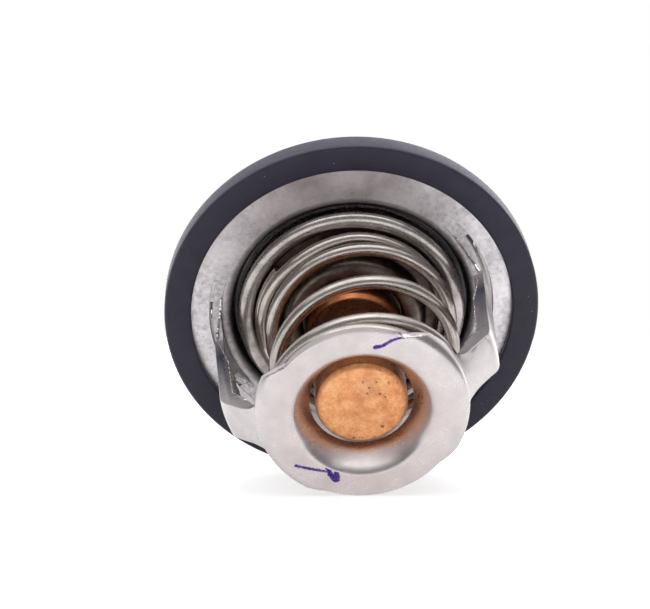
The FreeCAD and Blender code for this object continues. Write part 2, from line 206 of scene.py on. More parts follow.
def roll_legs(shape):
    """Round the outer corner between each leg's face and its flanks."""
    corners = []
    for edge in shape.edges:
        ends = [spot.co / MM for spot in edge.verts]
        on_side = all(abs(abs(end.y) - LEG_HALF_WIDTH) < SIDE_TOLERANCE for end in ends)
        outside = all(abs(end.x) > ROLLED_BEYOND for end in ends)
        in_reach = all(ROLLED_FROM < end.z < ROLLED_TO for end in ends)
        if on_side and outside and in_reach:
            corners.append(edge)
    bmesh.ops.bevel(
        shape,
        geom=corners,
        offset=LEG_ROLL * MM,
        offset_type="OFFSET",
        segments=ROUND_STEPS,
        profile=0.5,
        affect="EDGES",
        material=-1,
    )
    print("The legs have", len(corners), "rolled edges")


# %% Stampings and turned pieces
sheet_edges = {
    "lower_frame": ("frame", "frame_steel", 0.14),
    "flange": ("frame", "flange_steel", 0.08),
    "upper_bridge": ("frame", "bridge_steel", 0.15),
    "valve_plate": ("valve", "plate_steel", 0.12),
    "retaining_collar": ("valve", "collar_steel", 0.15),
    "piston_guide": ("valve", "guide_brass", 0.12),
    "piston": ("frame", "piston_steel", 0.08),
}


def copy_for(node_name):
    """The shape to soften: the node's copy, with mouth and legs of the lower frame worked further."""
    shape = merged_copy(node_name)
    if node_name == "lower_frame":
        draw_mouth(shape)
        roll_legs(shape)
    return shape


shaped = {}
for node_name, (body, slot, width) in sheet_edges.items():
    piece = add_piece(copy_for(node_name), node_name + "_shaped", body, slot, node_name)
    shaped[node_name] = soften_edges(piece, width * MM)

# %% [markdown]
# ## Turned shapes
#
# Seal and capsule are round about the axis. Each starts as a line of corners (radius, height). A vertex
# bevel rounds every corner of the line, and spinning the line about the axis makes the skin.

# %% Helpers: a rounded line and its spin
SPIN_STEPS = 288


def rounded_line(shape, corners, rounds, closed=False):
    """A line through the corners (radius, height) with a round at each corner between two runs."""
    places = [Vector((radius * MM, 0, height * MM)) for radius, height in corners]
    spots = [shape.verts.new(place) for place in places]
    ends = spots[1:] + spots[:1] if closed else spots[1:]
    for start, end in zip(spots, ends):
        shape.edges.new((start, end))
    bent = range(len(places)) if closed else range(1, len(places) - 1)
    for index, size in zip(bent, rounds):
        before, corner, after = places[index - 1], places[index], places[(index + 1) % len(places)]
        turn = (corner - before).angle(after - corner)
        bmesh.ops.bevel(
            shape,
            geom=[min(shape.verts, key=lambda spot: (spot.co - corner).length)],
            offset=size * MM * math.tan(turn / 2),
            offset_type="OFFSET",
            segments=ROUND_STEPS,
            profile=0.5,
            affect="VERTICES",
            material=-1,
        )


def spin_about_axis(shape):
    """Spin everything in the bmesh into a closed skin about the axis."""
    bmesh.ops.spin(
        shape,
        geom=shape.verts[:] + shape.edges[:],
        cent=(0, 0, 0),
        axis=(0, 0, 1),
        angle=FULL_TURN,
        steps=SPIN_STEPS,
        use_merge=True,
    )
    bmesh.ops.remove_doubles(shape, verts=shape.verts[:], dist=MERGE_DISTANCE)
    bmesh.ops.recalc_face_normals(shape, faces=shape.faces[:])


# %% [markdown]
# ## The rubber seal
#
# The seal is moulded round the flange's edge. Its section is a thick C: rounded outside, with a groove
# that grips the sheet.

# %% Seal
SEAL_INNER, SEAL_OUTER, SEAL_LOW, SEAL_HIGH = 28.75, 33.5, 32.2, 36.6
GROOVE_RADIUS, GROOVE_LOW, GROOVE_HIGH = 31.34, 33.76, 35.04
seal_section = [
    (SEAL_INNER, SEAL_LOW),
    (SEAL_OUTER, SEAL_LOW),
    (SEAL_OUTER, SEAL_HIGH),
    (SEAL_INNER, SEAL_HIGH),
    (SEAL_INNER, GROOVE_HIGH),
    (GROOVE_RADIUS, GROOVE_HIGH),
    (GROOVE_RADIUS, GROOVE_LOW),
    (SEAL_INNER, GROOVE_LOW),
]
seal_rounds = [0.4, 0.6, 0.6, 0.4, 0.1, 0.1, 0.1, 0.1]
seal_shape = bmesh.new()
rounded_line(seal_shape, seal_section, seal_rounds, closed=True)
spin_about_axis(seal_shape)
seal = add_piece(seal_shape, "moulded_seal", "frame", "seal_rubber", "seal_ring")

# %% [markdown]
# ## The copper capsule
#
# The capsule is drawn from copper sheet to a cup with a wider head, whose lip is crimped over the
# guide. Solidify gives the spun skin its wall.

# %% Capsule
CAPSULE_WALL = 0.8
cup_line = [(0, 3.3), (7.75, 3.3), (7.75, 25.0), (8.5, 26.3), (8.5, 31.2), (6.6, 31.2)]
cup_rounds = [1.3, 1.4, 1.4, 1.2]
cup_shape = bmesh.new()
rounded_line(cup_shape, cup_line, cup_rounds)
spin_about_axis(cup_shape)
bmesh.ops.solidify(cup_shape, geom=cup_shape.faces[:], thickness=CAPSULE_WALL * MM)
capsule = add_piece(cup_shape, "copper_capsule", "valve", "copper", "capsule_cup")

# %% [markdown]
# ## Tubes along a line
#
# Spring wire and torn edges are both tubes. A circle stands at the line's start, its edges are extruded to
# each next place and turned with the line. Every point also stores where it lies on the wire: two
# numbers round the section and one along the wire. The finish uses them for drawing marks.

# %% Helper: swept tube
def swept_tube(points, radii, sides):
    """A closed tube along points in millimetres, with a radius at each point."""
    shape = bmesh.new()
    on_wire = shape.verts.layers.float_vector.new("on_wire")
    places = []
    for index, (point, radius) in enumerate(zip(points, radii)):
        ahead = points[min(index + 1, len(points) - 1)] - points[max(index - 1, 0)]
        turned = ahead.to_track_quat("Z", "Y").to_matrix().to_4x4()
        places.append(Matrix.Translation(point * MM) @ turned @ Matrix.Scale(radius * MM, 4))
    circle = bmesh.ops.create_circle(shape, cap_ends=True, radius=1, segments=sides, matrix=places[0])
    edge_points = circle["verts"]
    edges = shape.edges[:]
    run = 0.0
    for index, place in enumerate(places):
        if index:
            grown = bmesh.ops.extrude_edge_only(shape, edges=edges)["geom"]
            edge_points = [part for part in grown if isinstance(part, bmesh.types.BMVert)]
            edges = [part for part in grown if isinstance(part, bmesh.types.BMEdge)]
            step = place @ places[index - 1].inverted()
            bmesh.ops.transform(shape, matrix=step, verts=edge_points)
            run += (points[index] - points[index - 1]).length
        for spot in edge_points:
            side = place.inverted() @ spot.co
            spot[on_wire] = (side.x, side.y, run)
    bmesh.ops.contextual_create(shape, geom=edges)
    bmesh.ops.recalc_face_normals(shape, faces=shape.faces[:])
    return shape


# %% [markdown]
# ## The spring
#
# The spring is wound cold from round wire. Each end turn lies flat on its seat and then climbs over the
# wire's own end. Between them the pitch opens slowly, the turns get narrower towards the ring, and
# the middle turns stand a little off the axis, as cheap springs do. A span is four numbers of turns:
# where it starts, how long it rises, how far before the last turn it ends, and how long it falls.

# %% Spring
WIRE_RADIUS = 1.2
SPRING_TURNS = 5.064
SPRING_END_ANGLE = -127.0
SPRING_LOW, SPRING_HIGH = 2.86, 31.6
SPRING_RADIUS_AT_PLATE, SPRING_RADIUS_AT_RING = 16.2, 14.6
FLAT_TURNS, CLIMB_TURNS, CLIMB = 0.83, 0.15, 2.45
SPRING_OFFSET = Vector((1.25, 0.4, 0))
OPEN_SPAN = (1.354, 1.1, 1.05, 0.4)
OFFSET_SPAN = (1.0, 0.3, 0.9, 0.35)
SPRING_STEPS_A_TURN = 72
WIRE_SIDES = 24


def ease(value):
    """Smooth step from 0 to 1."""
    value = min(max(value, 0.0), 1.0)
    return value * value * (3 - 2 * value)


def between(turn, start, start_turns, end, end_turns):
    """1 between a smooth rise and a smooth fall, else 0. The fall ends so many turns from the last."""
    return ease((turn - start) / start_turns) * ease((SPRING_TURNS - end - turn) / end_turns)


def spring_line():
    """Points of the wire's middle line, in millimetres, from the plate down to the ring."""
    steps = round(SPRING_TURNS * SPRING_STEPS_A_TURN)
    step = SPRING_TURNS / steps
    shares = [between((index + 0.5) * step, *OPEN_SPAN) for index in range(steps)]
    open_drop = (SPRING_HIGH - SPRING_LOW - 2 * CLIMB) / sum(shares)
    last_climb = SPRING_TURNS - FLAT_TURNS - CLIMB_TURNS
    points = []
    height = SPRING_HIGH
    for index in range(steps + 1):
        turn = index * step
        climbs = ease((turn - FLAT_TURNS) / CLIMB_TURNS) + ease((turn - last_climb) / CLIMB_TURNS)
        taper = max(turn - 1, 0) / (SPRING_TURNS - 1)
        radius = SPRING_RADIUS_AT_PLATE + (SPRING_RADIUS_AT_RING - SPRING_RADIUS_AT_PLATE) * taper
        angle = math.radians(SPRING_END_ANGLE) - FULL_TURN * turn
        spot = Vector((radius * math.cos(angle), radius * math.sin(angle), height - CLIMB * climbs))
        points.append(spot + SPRING_OFFSET * between(turn, *OFFSET_SPAN))
        if index < steps:
            height -= open_drop * shares[index]
    return points


wire_line = spring_line()
spring_shape = swept_tube(wire_line, [WIRE_RADIUS] * len(wire_line), WIRE_SIDES)
spring = add_piece(spring_shape, "coil_spring", "frame", "spring_steel", "main_spring")
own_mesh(spring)

# %% [markdown]
# ## Torn edges
#
# Where the punch shears thick sheet, the last part of the cut tears and leaves a thin ragged line that
# catches the light. A swept tube whose radius and place jitter a little along the edge gives that line.
# The jitter comes from one seeded source, so that every run makes the same edge.

# %% Helper: torn edge
TEAR_STEP, TEAR_SIDES = 0.22, 6
TEAR_JITTER = 0.04
TEAR_THINNEST, TEAR_THICKEST = 0.75, 1.05
TEAR_END_RADIUS = 0.02


def torn_edge(name, corners, thickness):
    """A ragged line through corners in millimetres."""
    points = []
    for start, end in zip(corners, corners[1:]):
        steps = round((end - start).length / TEAR_STEP)
        points += [start.lerp(end, index / steps) for index in range(steps)]
    points = [
        spot + Vector([chance.uniform(-TEAR_JITTER, TEAR_JITTER) for _ in range(3)]) for spot in points
    ]
    radii = [thickness * chance.uniform(TEAR_THINNEST, TEAR_THICKEST) for _ in points]
    radii[0] = radii[-1] = TEAR_END_RADIUS
    shape = swept_tube(points, radii, TEAR_SIDES)
    return add_piece(shape, name, "frame", "frame_steel")


# %% Torn edges of the tabs and flanks
tab_tear_line = [(21.3, -10.0, 33.5), (22.45, -7.2, 32.3), (23.5, -5.0, 31.0), (24.0, -3.9, 29.2)]
flank_tear_line = [(23.8, -3.75, 28.6), (21.9, -3.75, 21.2), (21.2, -3.75, 11.4), (18.7, -3.75, 7.6)]
tear_lines = {"tab": (tab_tear_line, 0.24), "flank": (flank_tear_line, 0.12)}
tears = []
for side, side_name in ((1, "right"), (-1, "left")):
    for way, way_name in ((1, "up"), (-1, "down")):
        for line_name, (line, thickness) in tear_lines.items():
            corners = [Vector((side * x, way * y, z)) for x, y, z in line]
            tears.append(torn_edge(f"{line_name}_tear_{side_name}_{way_name}", corners, thickness))

# %% [markdown]
# ## The tabs' corners
#
# The punch leaves a corner of sheet on each side of a tab, which fills the end of its slot in the
# flange. Each corner is a small rectangle (radius, height) spun through a few degrees, from inside the
# tab's own slanted corner to the slot's end.

# %% Helper: tab corner
CORNER_INNER, CORNER_OUTER, CORNER_LOW, CORNER_HIGH = 23.3, 25.8, 33.9, 34.9
CORNER_FROM, CORNER_TO = math.radians(21.5), math.radians(32.4)
CORNER_STEPS = 12
CORNER_ROUND = 0.06


def tab_corner(side, way):
    """The corner for one leg (side 1 or -1) and one end of its tab (way 1 or -1)."""
    shape = bmesh.new()
    section = [
        (CORNER_INNER, CORNER_LOW),
        (CORNER_OUTER, CORNER_LOW),
        (CORNER_OUTER, CORNER_HIGH),
        (CORNER_INNER, CORNER_HIGH),
    ]
    spots = [shape.verts.new((radius * MM, 0, height * MM)) for radius, height in section]
    near_end = shape.faces.new(spots)
    heading = (0 if side > 0 else math.pi) - side * way * CORNER_FROM
    bmesh.ops.rotate(shape, verts=spots, cent=(0, 0, 0), matrix=Matrix.Rotation(heading, 3, "Z"))
    bmesh.ops.spin(
        shape,
        geom=[near_end],
        cent=(0, 0, 0),
        axis=(0, 0, 1),
        angle=-side * way * (CORNER_TO - CORNER_FROM),
        steps=CORNER_STEPS,
    )
    bmesh.ops.recalc_face_normals(shape, faces=shape.faces[:])
    return shape


# %% Corners of the tabs
corner_pieces = []
for side, side_name in ((1, "right"), (-1, "left")):
    for way, way_name in ((1, "up"), (-1, "down")):
        name = f"tab_corner_{side_name}_{way_name}"
        corner = add_piece(tab_corner(side, way), name, "frame", "frame_steel")
        corner_pieces.append(soften_all_edges(corner, CORNER_ROUND * MM))

# %% [markdown]
# ## Building materials from nodes
#
# Every finish below is a Principled shader with a few texture nodes in front of it. This helper makes
# a node, sets its options, and either links or fills its inputs, so that each finish stays short.

# %% Helper: shader nodes
def node(tree, kind, inputs=None, **options):
    """Add a shader node. Inputs are given by name or number, as a value or as a socket to link."""
    made = tree.nodes.new("ShaderNode" + kind)
    for option, value in options.items():
        setattr(made, option, value)
    for name, value in (inputs or {}).items():
        if isinstance(value, bpy.types.NodeSocket):
            tree.links.new(value, made.inputs[name])
        else:
            made.inputs[name].default_value = value
    return made


def srgb(red, green, blue):
    """A colour from 0 to 255, as a screen shows it, turned linear."""

    def linear(value):
        value /= 255
        return value / 12.92 if value <= 0.04045 else ((value + 0.055) / 1.055) ** 2.4

    return (linear(red), linear(green), linear(blue), 1)


def new_finish(name, constants):
    """A material with a Principled shader whose constant inputs are set on its own sockets."""
    material = bpy.data.materials.new(name)
    material.use_nodes = True
    tree = material.node_tree
    shader = tree.nodes["Principled BSDF"]
    for socket, value in constants.items():
        shader.inputs[socket].default_value = value
    place = node(tree, "TexCoord").outputs["Object"]
    return material, tree, shader, place


def set_inputs(tree, shader, **sockets):
    """Link sockets to a shader's inputs."""
    for name, socket in sockets.items():
        tree.links.new(socket, shader.inputs[name.replace("_", " ").title()])


# %% [markdown]
# Metal is never one tone. Clouds, grain and specks are all noise at different sizes, and a ramp turns
# the noise into colours or into roughness. Sizes are given in millimetres, as they are on the part.

# %% Helpers: noise, ramps and relief
def noise_value(tree, place, size, detail=4.0, roughness=0.55, distortion=0.0):
    """Cloudy value from 0 to 1 whose clouds are about size millimetres across."""
    settings = {
        "Vector": place,
        "Scale": 1 / (size * MM),
        "Detail": detail,
        "Roughness": roughness,
        "Distortion": distortion,
    }
    return node(tree, "TexNoise", settings).outputs["Fac"]


def stretched(tree, place, x, y, z):
    """The same place with each axis multiplied, so that noise on it makes streaks."""
    return node(tree, "Mapping", {"Vector": place, "Scale": (x, y, z)}).outputs["Vector"]


def ramp(tree, value, stops):
    """Colours or greys at positions from 0 to 1."""
    made = node(tree, "ValToRGB", {"Fac": value})
    elements = made.color_ramp.elements
    while len(elements) < len(stops):
        elements.new(0.5)
    for element, (position, colour) in zip(elements, stops):
        element.position = position
        element.color = colour if isinstance(colour, tuple) else (colour, colour, colour, 1)
    return made.outputs["Color"]


def spread(tree, value, low, high, to_low, to_high):
    """A value from low to high, moved to another range and held inside it."""
    settings = {"Value": value, "From Min": low, "From Max": high, "To Min": to_low, "To Max": to_high}
    return node(tree, "MapRange", settings).outputs[0]


def blend_colours(tree, share, first, second, mode="MIX"):
    """Mix of two colours."""
    made = node(tree, "Mix", {0: share, 6: first, 7: second}, data_type="RGBA", blend_type=mode)
    return made.outputs[2]


def maths(tree, operation, *values):
    """One arithmetic step on numbers."""
    return node(tree, "Math", dict(enumerate(values)), operation=operation).outputs[0]


def vector_maths(tree, operation, *values):
    """One arithmetic step on places."""
    return node(tree, "VectorMath", dict(enumerate(values)), operation=operation)


def height_of(tree, place):
    """Height above the ring's face."""
    return node(tree, "SeparateXYZ", {0: place}).outputs["Z"]


def from_axis(tree, place):
    """Distance from the axis."""
    flat = vector_maths(tree, "MULTIPLY", place, (1, 1, 0)).outputs["Vector"]
    return vector_maths(tree, "LENGTH", flat).outputs["Value"]


def bump(tree, height, depth, before=None):
    """Surface relief: height from 0 to 1 stands for depth millimetres."""
    inputs = {"Height": height, "Distance": depth * MM, "Strength": 1.0}
    if before:
        inputs["Normal"] = before
    return node(tree, "Bump", inputs).outputs["Normal"]


def specks(tree, place, spacing, size, share):
    """Round spots of a size in millimetres, in a share of cells that are spacing apart."""
    cells = node(tree, "TexVoronoi", {"Vector": place, "Scale": 1 / (spacing * MM)}, feature="F1")
    number = node(tree, "SeparateColor", {0: cells.outputs["Color"]}).outputs[0]
    lucky = maths(tree, "LESS_THAN", number, share)
    edge, core = 0.5 * size / spacing, 0.3 * size / spacing
    inside = spread(tree, cells.outputs["Distance"], edge, core, 0.0, 1.0)
    return maths(tree, "MULTIPLY", lucky, inside)


def dress(material, *pieces):
    """Give pieces a material."""
    for piece in pieces:
        piece.data.materials.clear()
        piece.data.materials.append(material)


# %% [markdown]
# ## Sheet steel
#
# Rolled sheet that was washed and tumbled after stamping is bright but cloudy. Fine scratches run every
# way, which two stretched noises make: their relief and roughness break the reflections up.

# %% Finish: sheet steel
def sheet_steel(name, light, dark, cloud_size, rough_low, rough_high, relief=0.006):
    """Cloudy tone, fine scratches, and a roughness that varies with both."""
    material, tree, shader, place = new_finish(name, {"Metallic": 1.0})
    clouds = noise_value(tree, place, cloud_size, detail=7, roughness=0.62)
    grain = noise_value(tree, place, 0.18, detail=3)
    scratches = noise_value(tree, stretched(tree, place, 1.0, 0.06, 0.2), 0.12, detail=2)
    crossed = noise_value(tree, stretched(tree, place, 0.08, 1.0, 0.3), 0.14, detail=2)
    marks = maths(tree, "MULTIPLY", scratches, crossed)
    tone = ramp(tree, clouds, [(0.36, dark), (0.6, light)])
    tone = blend_colours(tree, spread(tree, grain, 0.3, 0.7, 0.0, 0.08), tone, dark)
    rough = spread(tree, clouds, 0.3, 0.7, rough_high, rough_low)
    rough = maths(tree, "ADD", rough, spread(tree, marks, 0.15, 0.4, -0.02, 0.03))
    relief_normal = bump(tree, marks, relief, bump(tree, grain, relief))
    set_inputs(tree, shader, Base_Color=tone, Roughness=rough, Normal=relief_normal)
    return material, tree, shader, place, tone, rough


bridge_steel = sheet_steel("bridge_steel", srgb(205, 199, 198), srgb(180, 175, 176), 6, 0.3, 0.4)[0]
collar_steel = sheet_steel("collar_steel", srgb(180, 175, 172), srgb(150, 146, 145), 3, 0.3, 0.4)[0]
piston_steel = sheet_steel("piston_steel", srgb(215, 214, 212), srgb(200, 199, 198), 3, 0.12, 0.2)[0]
guide_brass = sheet_steel("guide_brass", srgb(214, 178, 110), srgb(190, 150, 86), 3, 0.25, 0.4)[0]
dress(bridge_steel, shaped["upper_bridge"])
dress(collar_steel, shaped["retaining_collar"])
dress(piston_steel, shaped["piston"])
dress(guide_brass, shaped["piston_guide"])

# %% [markdown]
# The valve plate is bright only on its outer bead, which rubs in the throat. Its floor, under the
# spring, is rougher, and painted darker and browner as painted shade. A ramp over the distance from the
# axis blends the two.

# %% Finish: valve plate
FLOOR_EDGE, BEAD_EDGE = 17.4, 18.4
plate_steel, tree, shader, place, tone, rough = sheet_steel(
    "plate_steel", srgb(196, 190, 187), srgb(160, 153, 150), 4, 0.2, 0.3
)
inside = spread(tree, from_axis(tree, place), FLOOR_EDGE * MM, BEAD_EDGE * MM, 1.0, 0.0)
# Painted shade: the plate's floor under the spring is tinted dark brown.
floor_shade_clouds = noise_value(tree, place, 3, detail=6)
painted_floor_shade = ramp(tree, floor_shade_clouds, [(0.35, srgb(88, 76, 70)), (0.65, srgb(132, 120, 112))])
tone = blend_colours(tree, inside, tone, painted_floor_shade)
rough = maths(tree, "ADD", rough, maths(tree, "MULTIPLY", inside, 0.16))
set_inputs(tree, shader, Base_Color=tone, Roughness=rough)
dress(plate_steel, shaped["valve_plate"])

# %% [markdown]
# ## The frame's ink marks
#
# A checker drew a few strokes of purple ink on the ring's face. A stroke is every point near a broken
# line, so the finish measures the distance to each run of the line with vector nodes, and lets a
# little noise fray its edge. The ink only lies on the face, at height 0. The same finish darkens the
# flanks of the legs with a blue tint, a painted reflection of the dark rubber, and dulls the tabs, where
# the punch sheared them.

# %% Helper: ink stroke
EDGE_OUTSIDE, EDGE_INSIDE = 0.12, -0.08


def ink_stroke(tree, place, points, widths, fray):
    """Mask of a stroke through points (x, y) in millimetres, with a width at each point."""
    flat = vector_maths(tree, "MULTIPLY", place, (1 / MM, 1 / MM, 0)).outputs["Vector"]
    mask = None
    for (start, end), (first, last) in zip(zip(points, points[1:]), zip(widths, widths[1:])):
        run = Vector((*end, 0)) - Vector((*start, 0))
        offset = vector_maths(tree, "SUBTRACT", flat, (*start, 0)).outputs["Vector"]
        along = vector_maths(tree, "DOT_PRODUCT", offset, run / run.length_squared).outputs["Value"]
        share = spread(tree, along, 0.0, 1.0, 0.0, 1.0)
        scaled = node(tree, "VectorMath", {0: tuple(run), "Scale": share}, operation="SCALE")
        gap = vector_maths(tree, "DISTANCE", offset, scaled.outputs["Vector"]).outputs["Value"]
        half_width = spread(tree, along, 0.0, 1.0, first / 2, last / 2)
        past_edge = maths(tree, "SUBTRACT", maths(tree, "ADD", gap, fray), half_width)
        inside = spread(tree, past_edge, EDGE_OUTSIDE, EDGE_INSIDE, 0.0, 1.0)
        mask = inside if mask is None else maths(tree, "MAXIMUM", mask, inside)
    return mask


# %% Finish: frame
INK = srgb(60, 36, 132)
INK_DEPTH = 0.12
SHEARED_HEIGHT = 29.2
# The dark blue on the legs' flanks is a painted reflection of the dark rubber, not a colour of the steel.
FLANK_REFLECTION_FROM, FLANK_REFLECTION_TO, FLANK_REFLECTION_END, FLANK_REFLECTION = 9.0, 24.0, 28.6, srgb(74, 76, 98)
FLANK_FROM, FLANK_TO = 3.3, 3.65
SHEARED_DARK, SHEARED_LIGHT = srgb(196, 192, 195), srgb(232, 228, 230)
ink_strokes = [
    (
        [(5.19, -12.22), (6.47, -12.14), (8.01, -12.69), (9.01, -12.77), (10.01, -12.65)],
        [0.7, 0.6, 0.5, 0.4, 0.3],
    ),
    ([(-13.25, 6.24), (-10.71, 7.78), (-8.59, 8.89)], [0.5, 0.5, 0.4]),
    ([(-8.37, 7.66), (-8.22, 9.54), (-7.68, 10.8)], [0.6, 0.9, 1.2]),
    ([(-7.14, 9.61), (-7.48, 10.86)], [0.9, 1.1]),
]
frame_steel, tree, shader, place, tone, rough = sheet_steel(
    "frame_steel", srgb(212, 206, 206), srgb(201, 194, 195), 5, 0.26, 0.34, 0.001
)
fray = spread(tree, noise_value(tree, place, 0.35, detail=3), 0.3, 0.7, -0.12, 0.12)
ink = None
for points, widths in ink_strokes:
    stroke = ink_stroke(tree, place, points, widths, fray)
    ink = stroke if ink is None else maths(tree, "MAXIMUM", ink, stroke)
height = height_of(tree, place)
on_face = maths(tree, "LESS_THAN", height, INK_DEPTH * MM)
thin = spread(tree, noise_value(tree, place, 0.5), 0.3, 0.6, 0.85, 1.0)
ink = maths(tree, "MULTIPLY", maths(tree, "MULTIPLY", ink, on_face), thin)
tone = blend_colours(tree, ink, tone, INK)
rough = maths(tree, "ADD", rough, maths(tree, "MULTIPLY", ink, 0.25))
# Painted reflection: the legs' flanks are tinted dark blue. The tint is strongest high on the legs and
# fades out low down and at the tabs.
from_middle = maths(tree, "ABSOLUTE", node(tree, "SeparateXYZ", {0: place}).outputs["Y"])
on_flank = spread(tree, from_middle, FLANK_FROM * MM, FLANK_TO * MM, 0.0, 1.0)
rising = spread(tree, height, FLANK_REFLECTION_FROM * MM, FLANK_REFLECTION_TO * MM, 0.0, 0.85)
fading = spread(tree, height, FLANK_REFLECTION_END * MM, FLANK_REFLECTION_TO * MM, 0.0, 1.0)
painted_flank_reflection = maths(tree, "MULTIPLY", maths(tree, "MULTIPLY", on_flank, rising), fading)
tone = blend_colours(tree, painted_flank_reflection, tone, FLANK_REFLECTION)
sheared = maths(tree, "GREATER_THAN", height, SHEARED_HEIGHT * MM)
sheared_clouds = noise_value(tree, place, 0.8, detail=5)
sheared_tone = ramp(tree, sheared_clouds, [(0.38, SHEARED_DARK), (0.62, SHEARED_LIGHT)])
tone = blend_colours(tree, sheared, tone, sheared_tone)
rough = maths(tree, "ADD", rough, maths(tree, "MULTIPLY", sheared, 0.3))
set_inputs(tree, shader, Base_Color=tone, Roughness=rough)
dress(frame_steel, shaped["lower_frame"])
dress(frame_steel, *corner_pieces)
torn_steel = sheet_steel("torn_steel", srgb(240, 238, 238), srgb(218, 214, 214), 1, 0.1, 0.18)[0]
dress(torn_steel, *tears)
print("The frame has", len(ink_strokes), "ink strokes")

# %% [markdown]
# ## The flange
#
# The flange is a duller sheet than the frame: a mottle of light and dark spots a millimetre or so
# across lies over larger clouds, and small dark specks sit where the surface was bruised. It is darker
# towards one side, and the bend into its throat is painted near black as painted shade.

# %% Finish: flange
THROAT_SHADE_START, THROAT_SHADE_END = 22.9, 21.5
DARKER_SIDE_START, DARKER_SIDE_END = -12, -27
flange_steel, tree, shader, place = new_finish("flange_steel", {"Metallic": 1.0})
clouds = noise_value(tree, place, 7, detail=4)
mottle = noise_value(tree, place, 0.9, detail=5, roughness=0.65)
both = maths(tree, "ADD", maths(tree, "MULTIPLY", clouds, 0.45), maths(tree, "MULTIPLY", mottle, 0.55))
tone = ramp(
    tree, both, [(0.36, srgb(184, 180, 184)), (0.5, srgb(220, 216, 219)), (0.64, srgb(238, 234, 236))]
)
dots = specks(tree, place, 1.6, 0.35, 0.3)
tone = blend_colours(tree, maths(tree, "MULTIPLY", dots, 0.5), tone, srgb(110, 104, 108))
# The flange gets darker towards the -y side, broken up by the clouds.
toward_top = node(tree, "SeparateXYZ", {0: place}).outputs["Y"]
darker_side = spread(tree, toward_top, DARKER_SIDE_START * MM, DARKER_SIDE_END * MM, 0.0, 1.0)
darker_side = maths(tree, "MULTIPLY", darker_side, spread(tree, clouds, 0.3, 0.6, 0.9, 0.5))
tone = blend_colours(tree, darker_side, tone, srgb(150, 138, 140))
across = from_axis(tree, place)
# Painted shade: the bend into the throat is tinted near black, where the gap by the valve plate lies in
# shade.
in_throat = spread(tree, across, THROAT_SHADE_START * MM, THROAT_SHADE_END * MM, 0.0, 0.9)
tone = blend_colours(tree, in_throat, tone, srgb(60, 58, 60))
rough = spread(tree, mottle, 0.3, 0.7, 0.5, 0.34)
relief = bump(tree, mottle, 0.02, bump(tree, noise_value(tree, place, 0.2), 0.008))
set_inputs(tree, shader, Base_Color=tone, Roughness=rough, Normal=relief)
dress(flange_steel, shaped["flange"])

# %% [markdown]
# ## Spring wire
#
# Drawing leaves faint lines along the wire. Object coordinates cannot follow a coil, so this finish
# reads the numbers that the sweep stored on the wire: noise that is fine round the section and slow
# along it makes streaks that run with the wire.

# %% Finish: spring
spring_steel, tree, shader, place = new_finish("spring_steel", {"Metallic": 1.0})
wire_place = node(tree, "Attribute", attribute_name="on_wire").outputs["Vector"]
streaks = node(
    tree,
    "TexNoise",
    {"Vector": stretched(tree, wire_place, 7, 7, 0.18), "Scale": 1.0, "Detail": 4.0, "Roughness": 0.6},
).outputs["Fac"]
patches = noise_value(tree, place, 2.5, detail=5)
tone = ramp(tree, streaks, [(0.34, srgb(162, 154, 148)), (0.64, srgb(200, 193, 187))])
tone = blend_colours(tree, spread(tree, patches, 0.5, 0.75, 0.0, 0.4), tone, srgb(142, 132, 126))
streak_rough = spread(tree, streaks, 0.3, 0.7, 0.3, 0.16)
rough = maths(tree, "ADD", streak_rough, spread(tree, patches, 0.3, 0.7, 0.0, 0.08))
relief = bump(tree, streaks, 0.008, bump(tree, noise_value(tree, place, 0.15), 0.002))
set_inputs(tree, shader, Base_Color=tone, Roughness=rough, Normal=relief)
dress(spring_steel, spring)

# %% [markdown]
# ## Copper
#
# The capsule's end is matt from the drawing die and pitted by small knocks. Named pits (x, y, width)
# sit where they lie on this capsule, and a sprinkle of random ones fills the rest. A patch of the end is
# worn, and the side is darker.

# %% Finish: capsule
CAPSULE_END = 3.3
SIDE_FROM, SIDE_TO = 3.55, 4.3
WORN_SPOT = (2.0, -3.0, CAPSULE_END)
WORN_EDGE, WORN_CORE = 3.2, 0.5
capsule_pits = [
    (1.24, -4.24, 0.3),
    (1.99, -2.95, 0.35),
    (1.42, -1.95, 0.3),
    (3.41, -3.63, 0.3),
    (3.37, -1.3, 0.35),
    (4.08, -0.44, 0.3),
    (5.29, -3.0, 0.3),
    (2.17, 5.09, 0.6),
    (-3.01, 5.89, 0.4),
    (-1.6, 6.3, 0.3),
    (0.39, 6.74, 0.35),
]
copper, tree, shader, place = new_finish("capsule_copper", {"Metallic": 1.0})
pits = specks(tree, place, 1.1, 0.28, 0.22)
for x, y, width in capsule_pits:
    gap = vector_maths(tree, "DISTANCE", place, (x * MM, y * MM, CAPSULE_END * MM)).outputs["Value"]
    pits = maths(tree, "MAXIMUM", pits, spread(tree, gap, 0.6 * width * MM, 0.3 * width * MM, 0.0, 1.0))
clouds = noise_value(tree, place, 2.6, detail=6, roughness=0.6)
grain = noise_value(tree, place, 0.22, detail=3)
tone = ramp(
    tree, clouds, [(0.35, srgb(214, 148, 102)), (0.5, srgb(236, 170, 118)), (0.68, srgb(243, 186, 138))]
)
mottle = noise_value(tree, place, 0.7, detail=7, roughness=0.7)
tone = blend_colours(tree, spread(tree, mottle, 0.48, 0.7, 0.0, 0.55), tone, srgb(182, 122, 84))
tone = blend_colours(tree, spread(tree, mottle, 0.46, 0.3, 0.0, 0.5), tone, srgb(250, 206, 158))
tone = blend_colours(tree, spread(tree, grain, 0.4, 0.7, 0.0, 0.35), tone, srgb(172, 112, 76))
worn = vector_maths(tree, "DISTANCE", place, tuple(part * MM for part in WORN_SPOT))
worn_share = spread(tree, worn.outputs["Value"], WORN_EDGE * MM, WORN_CORE * MM, 0.0, 0.45)
